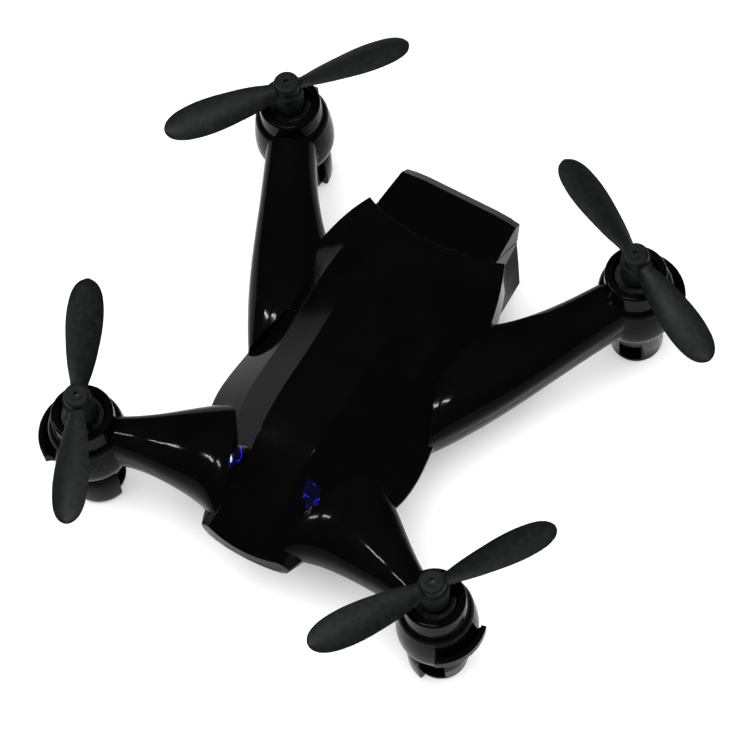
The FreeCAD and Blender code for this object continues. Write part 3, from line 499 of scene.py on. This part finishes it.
# ---------------------------------------------------------------- power switch
# A slide switch hangs under the board in a folded steel frame, and its black knob stands out
# through a slot in the belly.
dress("power_switch", pressed_steel)
knob_plastic = plastic("knob_acetal", 0.4)
mottled(knob_plastic, (0.008, 0.008, 0.008), (0.014, 0.014, 0.014), 0.0004)
grain(knob_plastic, 0.00015, 0.000004, 0.35, 0.5)
dress("switch_knob", knob_plastic)

# ---------------------------------------------------------------- antenna and leads
# The antenna is a bare grey wire laid inside the shell. The motors' leads are twisted pairs in red
# silicone, soft and slightly dusty.


def rubber(name, dark, light):
    """A soft cord covering with a dusty bloom."""
    material = plastic(name, 0.25)
    mottled(material, dark, light, 0.0007)
    grain(material, 0.0001, 0.000003, 0.5, 0.7)
    material.node_tree.nodes["Principled BSDF"].inputs["Sheen Weight"].default_value = 0.15
    return material


dress("antenna_wire", rubber("grey_insulation", (0.1, 0.1, 0.1), (0.16, 0.16, 0.16)))
red_silicone = rubber("red_silicone", (0.22, 0.012, 0.012), (0.34, 0.02, 0.02))

# ---------------------------------------------------------------- motors
# A coreless motor is a drawn steel can, seated in each pod with a white plastic cap at its bottom,
# where the leads leave. Inside the collar its face sits in shadow, and that shade is painted in:
# the can's steel and the shaft's are coloured nearly black.
# Painted shade: the can's steel is coloured nearly black for its face down in the dark well.
can_steel_painted_shade = metal("can_steel_painted_shade", (0.02, 0.02, 0.021), 0.45, brushed=0.5)
mottled(can_steel_painted_shade, (0.006, 0.006, 0.0065), (0.014, 0.014, 0.0145), 0.0009)
grain(can_steel_painted_shade, 0.00025, 0.000003, 0.38, 0.55)
# Painted shade: the shaft's steel is coloured nearly black too.
shaft_steel = metal("shaft_steel_painted_shade", (0.035, 0.035, 0.036), 0.35)
mottled(shaft_steel, (0.025, 0.025, 0.026), (0.05, 0.05, 0.052), 0.0004)
grain(shaft_steel, 0.00015, 0.000001, 0.28, 0.42)
cap_white = plastic("motor_cap_plastic", 0.35)
mottled(cap_white, (0.6, 0.59, 0.55), (0.7, 0.69, 0.66), 0.0008)
grain(cap_white, 0.0002, 0.000003, 0.45, 0.6)
for pod in pods:
    dress("motor_can_" + pod, can_steel_painted_shade)
    dress("shaft_" + pod, shaft_steel)
    dress("motor_end_cap_" + pod, cap_white)
    dress("motor_leads_" + pod, red_silicone)

# ---------------------------------------------------------------- propellers
# Each propeller is one moulding in dark grey nylon with a sparked, satin face, pressed on the
# motor's shaft. The texture is fine enough to soften every highlight.
sparked_nylon = plastic("sparked_nylon", 0.05)
mottled(sparked_nylon, (0.0034, 0.0039, 0.0039), (0.0066, 0.0072, 0.0072), 0.0009)
grain(sparked_nylon, 0.00032, 0.00003, 0.42, 0.6)
for pod in pods:
    dress("propeller_" + pod, sparked_nylon)

# ---------------------------------------------------------------- battery
# The battery slides into the tail as a cartridge: a gloss black case round a foil cell, with two
# plated spring contacts at its front.
case_black = plastic("cartridge_black", 0.025)
mottled(case_black, (0.001, 0.001, 0.001), (0.0013, 0.0013, 0.0013), 0.009)
grain(case_black, 0.0014, 0.0000012, 0.12, 0.2, rounding=0.00018)
dress("battery_case", case_black)
foil = metal("laminated_foil", (0.62, 0.62, 0.64), 0.3)
mottled(foil, (0.55, 0.55, 0.57), (0.68, 0.68, 0.7), 0.003)
grain(foil, 0.0016, 0.00012, 0.22, 0.36)
dress("battery_cell", foil)
plated_brass = metal("plated_brass", (0.72, 0.52, 0.2), 0.25)
mottled(plated_brass, (0.66, 0.47, 0.17), (0.78, 0.57, 0.24), 0.0007)
grain(plated_brass, 0.0002, 0.000001, 0.18, 0.32)
dress("battery_contact_left", plated_brass)
dress("battery_contact_right", plated_brass)
